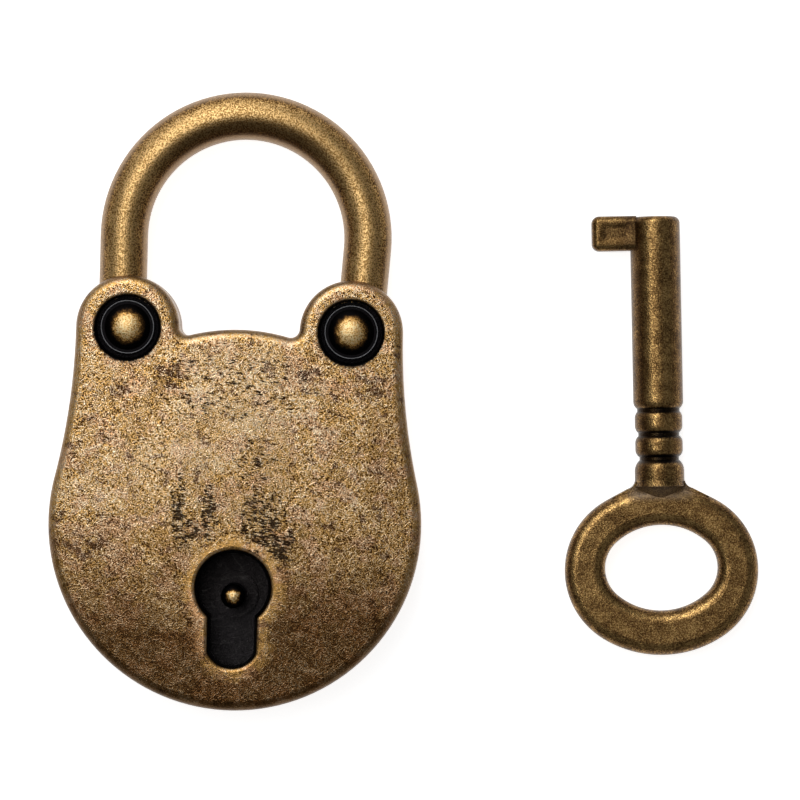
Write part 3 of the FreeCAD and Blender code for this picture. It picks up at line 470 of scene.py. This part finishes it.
# Places on the face: the x and y of the middle, the half width and the half height. Where
# a place has five numbers, its share stands before them.
BESIDE_KEYHOLE = (-5.2, -0.8, 3.0, 3.4)
BROWN_EDGES = (
    (0.55, -17.0, 1.5, 4.5, 6.0),
    (0.35, -12.5, 4.4, 5.0, 3.2),
    (0.35, 15.6, 13.0, 3.2, 9.0),
    (0.35, 13.6, 5.2, 3.2, 3.0),
)
TORN_PLACES = (
    (1.00, -5.7, 8.6, 0.9, 4.2),
    (0.90, -4.8, 6.6, 2.0, 1.6),
    (1.00, -2.6, 8.4, 1.0, 3.2),
    (0.90, 2.9, 7.8, 2.9, 4.0),
    (0.60, 2.0, 14.0, 2.6, 3.0),
    (1.00, 4.8, 5.5, 1.8, 2.2),
    (0.50, 0.0, 21.5, 9.5, 4.5),
)
BRIGHTER_PLACES = (
    (0.14, 0.5, 21.0, 8.0, 6.5),
    (0.12, -5.5, 14.0, 6.0, 2.2),
    (0.12, -15.5, 9.8, 3.0, 1.5),
    (0.07, -5.5, 19.5, 4.5, 1.8),
    (0.12, 11.0, 9.8, 2.2, 1.8),
    (0.08, -12.5, 10.8, 4.5, 2.2),
    (-0.24, -7.1, 21.8, 2.1, 2.1),
    (0.07, 9.5, 16.8, 2.0, 2.0),
)
STAINED_PLACES = (
    (-7.2, 22.6, 1.9, 1.52),
    (-12.6, 21.0, 1.5, 1.20),
    (2.8, 23.0, 1.3, 1.04),
    (7.2, 22.4, 1.5, 1.20),
    (13.4, 22.0, 2.2, 1.76),
    (-9.0, 26.0, 1.4, 1.12),
    (-15.0, 4.8, 2.2, 1.76),
)


def patch(metal, x, y, half_width, half_height):
    """A soft-edged oval patch, 1 in its middle."""
    return metal.ramp(metal.distance(x, y, (half_width, half_height)), 1.25, 0.55)


def patches(metal, places):
    """A patch at each listed place, times its share."""
    return [share * patch(metal, *place) for share, *place in places]


def from_keyhole(metal):
    """Distance outwards from the keyhole's edge, in millimetres."""
    place = metal.across()
    ring = metal.distance(0.0, KEYHOLE_Y) - KEYHOLE_RADIUS
    below = metal.most(KEYWAY_FOOT_Y - place.y, 0.0)
    above = metal.most(place.y - KEYHOLE_Y, 0.0)
    slot = metal.hypotenuse(abs(place.x), below + above) - KEYWAY_HALF
    return metal.least(ring, slot)


def front_plating():
    """Rubbed, torn and stained, browner towards the foot partly as painted shade, and black in the
    keyhole and the ears.
    """
    metal = Finish("front_plating")
    x, y, z = metal.across()
    facing = metal.facing()
    hole = from_keyhole(metal)
    rim = rolled_edge(metal, facing)
    halo = metal.ramp(hole + 1.6 * metal.noise(1.2) - 0.8 - 0.03 * x, 1.7, 0.6)
    smooth = metal.most(0.8 * rim, halo)

    # browner towards the foot and at the sides: partly less rubbing, partly painted shade where the light
    # falls off
    foot = metal.ramp(y - 0.05 * x + 5.0 * metal.noise(5.0) - 2.5, 10.2, -4.5)
    foot = foot * (1.0 - 0.50 * halo - 0.20 * patch(metal, *BESIDE_KEYHOLE))
    covered_and_shaded = metal.most(foot, 0.25 * halo, *patches(metal, BROWN_EDGES))
    brightness_share = 1.0 - covered_and_shaded

    # short black tears across the face, with bright metal rubbed between them
    tears = metal.noise(0.14, 2.0, 0.6, stretch=(3.8, 1, 1), turn=5, wander=0.4)
    where = metal.most(*patches(metal, TORN_PLACES))
    between = where * metal.ramp(tears, 0.47, 0.34)

    # the rim and the listed places are lifted brighter, partly as painted light
    lift = 0.10 * rim + 0.30 * between + sum(patches(metal, BRIGHTER_PLACES))
    clean_ears = near_ears(metal, EAR_RADIUS, blur=0.7)
    stained = metal.most(*[patch(metal, *place) for place in STAINED_PLACES]) - 0.8 * clean_ears
    color, fine, value = rubbed_plating(metal, brightness_share, smooth, lift, stained)

    torn = tears + 0.90 * metal.noise(0.9, 3.0, 0.65) + 0.285 * where + 0.01
    tear = metal.ramp(torn, 1.22, 1.27) * (1.0 - clean_ears)
    color = metal.mix(0.95 * tear, color, TEAR_BROWN)
    color = dark_sides(metal, facing, color)

    # black down the walls of the keyhole, in the ears and inside
    from_top = metal.distance(0.0, FACE_TOP_Y)
    crown = face_top - 0.5 / FACE_BALL * (from_top * from_top)
    in_hole = metal.ramp(hole, 0.5, 0.2) * metal.ramp(crown - z, 0.06, 0.40)
    in_ear = near_ears(metal, FRONT_RECESS_RADIUS, blur=0.18, ragged=0.60, drop=0.20)
    inner_face = face_top - PLATE_THICKNESS
    inside = in_chamber(metal, z, inner_face + 0.15, inner_face + 0.05)
    color = metal.mix(metal.most(in_hole, in_ear, inside), color, BLACKING)

    rough = metal.ramp(fine, 0.1, 0.9, start=0.36, end=0.25)
    rubbed = metal.relief(value, depth=RUBBED_RELIEF)
    return metal.done(color, rough, metal.relief(1.0 - tear, depth=0.07, after=rubbed))


give_finish(front_plating(), "front_case")


# Cup washers. Thin pressed steel washers under the heads of the ear rivets. They are blackened, and their
# raised rims are worn to bare steel, painted pale grey and not metallic as a painted glint.

WORN_STEEL_GLINT = (0.45, 0.45, 0.47)
washer_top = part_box("pivot_rivet_washer")[1].z / MM


def washer_blacking():
    """Black, with a painted glint of pale, not metallic, bare steel where the raised rim is worn."""
    metal = Finish("washer_blacking")
    height = metal.across().z
    speckle = metal.noise(0.2, 2.0, 0.6)
    # the raised rim: partly worn steel, partly a painted glint
    worn_and_lit = metal.ramp(height + 0.04 * speckle - 0.02, washer_top - 0.10, washer_top - 0.03)
    color = metal.mix(worn_and_lit, BLACKING, WORN_STEEL_GLINT)
    metal.wire(1.0 - 0.9 * worn_and_lit, metal.shader.inputs["Metallic"])
    rough = metal.ramp(speckle, 0.3, 0.7, start=0.42, end=0.30)
    return metal.done(color, rough, metal.relief(speckle, depth=0.01))


give_finish(washer_blacking(), "pivot_rivet_washer", "closing_rivet_washer")


# Ear rivets. Turned brass with domed heads, plated and rubbed like the drill pin, with the same partly
# painted highlight on the crown and painted shade round the edge. They hold the halves together through
# the ears, and the shackle turns on the left one.

for rivet in ("pivot_rivet", "closing_rivet"):
    give_finish(dome_plating(rivet, bright_radius=0.80, black_radius=1.90), rivet)


# Barrel key. Cast in one with its oval bow, beads and bit, and drilled up the end of its shank. It is
# plated and rubbed like the shackle, but stays darker: black in the grooves between the beads, and brown
# on the neck, on the dished face of the bit and down the sides of the shank. Its shoulders and the crest
# of its shank carry painted highlight as well as wear, its sides painted shade, and the foot below the
# collar a dull, lighter brown that is painted light.

KEY_X = 44.05
KEY_Y = 3.57
KEY_AXIS_Z = 2.72
KEY_TURN = 2.5
GROOVE_BLACK_RADIUS = 2.26
GROOVE_CLEAN_RADIUS = 2.40
BIT_MIDDLE_X = -4.1
BIT_MIDDLE_Y = 34.95
CREST_X = 0.35
KEY_DARK = (0.052, 0.026, 0.009)
KEY_BROWN = (0.255, 0.142, 0.049)
KEY_BRIGHT = (0.85, 0.54, 0.20)
FOOT_DARK = (0.13, 0.078, 0.038)
FOOT_BRIGHT = (0.38, 0.25, 0.125)
BIT_DARK = (0.045, 0.028, 0.022)
SHANK_DARK = (0.055, 0.026, 0.007)
UPRIGHT_BROWN = (0.06, 0.035, 0.015)

# Stretches along the key, from the middle of its bow: where each starts, is full, fades and ends.
FOOT_STRETCH = (6.9, 7.9, 8.5, 8.9)
NECK_STRETCH = (8.2, 8.6, 9.3, 9.9)
BEAD_STRETCH = (10.6, 10.9, 17.1, 17.4)


def key_plating():
    """Rubbed like the shackle but darker, with black grooves and a brown neck and bit, painted highlight
    on the shoulders and crest, and painted shade down the sides.
    """
    metal = Finish("key_plating")
    facing = metal.facing()
    speckle = metal.noise(0.14, 2.0, 0.6)
    hair = metal.lines(0.40, 0.06, detail=1.0, wander=0.6)
    mottle = metal.noise(1.6, 4.0, 0.65)
    fine = 0.7 * metal.ramp(speckle, 0.34, 0.66) + 0.3 * hair
    # the shoulders are lighter, partly wear and partly painted highlight; the flanks darker with painted
    # shade
    shoulder = metal.band(facing, 0.78, 0.92, 0.96, 0.998)
    value = 0.80 * fine + mottle - 0.44 + 0.22 * shoulder - 0.15 * metal.ramp(facing, 0.88, 0.72)
    color = metal.tones(value, (0.0, KEY_DARK), (0.45, KEY_BROWN), (1.0, KEY_BRIGHT))

    # the key's own frame: its axis runs along y from the middle of the bow
    middle_moved = metal.mapped(metal.place, shift=(-KEY_X, -KEY_Y, -KEY_AXIS_Z))
    beside, along, over = metal.across(metal.mapped(middle_moved, turn=-KEY_TURN))
    from_axis = metal.hypotenuse(beside, over)

    # the foot between bow and collar, dull, not metallic and lighter brown, painted light on a slope that
    # the lamps leave dark, then the beads and the neck
    in_groove = metal.ramp(from_axis, GROOVE_CLEAN_RADIUS, GROOVE_BLACK_RADIUS)
    grooved = metal.band(along, *BEAD_STRETCH) * in_groove
    neck = metal.band(along, *NECK_STRETCH)
    foot = metal.band(along, *FOOT_STRETCH) * metal.ramp(abs(beside), 4.0, 2.4)
    # painted light: the foot's lighter, dull brown stands in for light the lamps don't give there
    color = metal.mix(0.75 * foot, color, metal.mix(fine, FOOT_DARK, FOOT_BRIGHT))
    metal.wire(1.0 - 0.85 * foot, metal.shader.inputs["Metallic"])
    color = metal.mix(0.94 * metal.most(grooved, 0.38 * neck), color, BLACKING)

    # the dished face of the bit and the corner between bit and shank
    dish_x = metal.ramp(abs(beside - BIT_MIDDLE_X), 1.70, 0.90)
    dish_y = metal.ramp(abs(along - BIT_MIDDLE_Y), 1.05, 0.40)
    dish = dish_x * dish_y
    corner = metal.band(beside, -4.0, -2.9, -2.2, -1.5) * metal.ramp(along, 33.0, 33.6)
    color = metal.mix(metal.most(0.30 * dish, 0.45 * corner), color, BIT_DARK)

    # beyond the neck the crest of the shank, a little right of its axis, is lighter and its sides
    # browner: partly rubbing, partly painted highlight and painted shade
    past_neck = metal.ramp(along, 9.3, 9.8)
    crest = metal.ramp(abs(beside - CREST_X), 1.5, 0.5) * past_neck
    color = metal.mix(0.35 * (1.0 - crest) * past_neck, color, SHANK_DARK)
    # browner on upright sides, partly painted shade
    upright = metal.ramp(facing, 0.45, 0.05)
    color = metal.mix(0.6 * upright, color, UPRIGHT_BROWN)

    rough = metal.ramp(fine, 0.1, 0.9, start=0.38, end=0.28) - 0.08 * shoulder
    rubbed = metal.relief(fine, depth=0.012)
    return metal.done(color, rough, metal.relief(1.0 - dish, depth=0.09, after=rubbed))


give_finish(key_plating(), "key")


# A pale table, one large soft lamp overhead towards the shackle, dim cards to its left and beyond it, and
# the camera straight above.

TABLE_SIZE = 3.0
TABLE_DROP = 0.00005
bpy.ops.mesh.primitive_plane_add(size=TABLE_SIZE, location=(0, 0, -TABLE_DROP))
table = bpy.context.object
table.name = "table"
table_paint = bpy.data.materials.new("table_paint")
table_paint.use_nodes = True
table_shader = table_paint.node_tree.nodes["Principled BSDF"]
table_shader.inputs["Base Color"].default_value = (0.85, 0.85, 0.85, 1)
table_shader.inputs["Roughness"].default_value = 0.8
table_shader.inputs["Specular IOR Level"].default_value = 0.1
table_shader.inputs["Emission Color"].default_value = (1, 1, 1, 1)
table_shader.inputs["Emission Strength"].default_value = 0.85
table.data.materials.append(table_paint)

scene = bpy.context.scene
world = bpy.data.worlds.new("studio")
scene.world = world
world.use_nodes = True
studio_light = world.node_tree.nodes["Background"]
studio_light.inputs["Color"].default_value = (1, 1, 1, 1)
studio_light.inputs["Strength"].default_value = 0.12


def area_lamp(name, width, depth, glow, place):
    """A flat lamp that hangs level and shines down, as bright as its glow whatever its size."""
    light = bpy.data.lights.new(name, "AREA")
    light.shape = "RECTANGLE"
    light.size = width
    light.size_y = depth
    light.energy = glow * math.pi * light.size * light.size_y
    lamp = bpy.data.objects.new(name, light)
    lamp.location = place
    scene.collection.objects.link(lamp)
    return lamp


area_lamp("softbox", width=0.295, depth=1.00, glow=2.4, place=(-0.1125, 0.485, 0.55))
side_card = area_lamp("side_card", width=0.5, depth=0.5, glow=0.7, place=(-0.42, 0.62, 0.50))
back_card = area_lamp("back_card", width=0.7, depth=0.22, glow=1.2, place=(-0.05, 0.80, 0.20))
for card in (side_card, back_card):
    card.rotation_euler = card.location.to_track_quat("Z", "Y").to_euler()

VIEW_MIDDLE = Vector((0.0166, 0.0205, 0.006))
VIEW_WIDTH = 0.08216
CAMERA_DISTANCE = 0.48
CAMERA_TURN = 1.4
lens = bpy.data.cameras.new("camera")
lens.sensor_width = 36.0
lens.lens = lens.sensor_width * CAMERA_DISTANCE / VIEW_WIDTH
lens.clip_start = 0.01
camera = bpy.data.objects.new("camera", lens)
camera.location = VIEW_MIDDLE + Vector((0, 0, CAMERA_DISTANCE))
camera.rotation_euler = (0, 0, math.radians(CAMERA_TURN))
scene.collection.objects.link(camera)
scene.camera = camera
scene.view_settings.view_transform = "Standard"
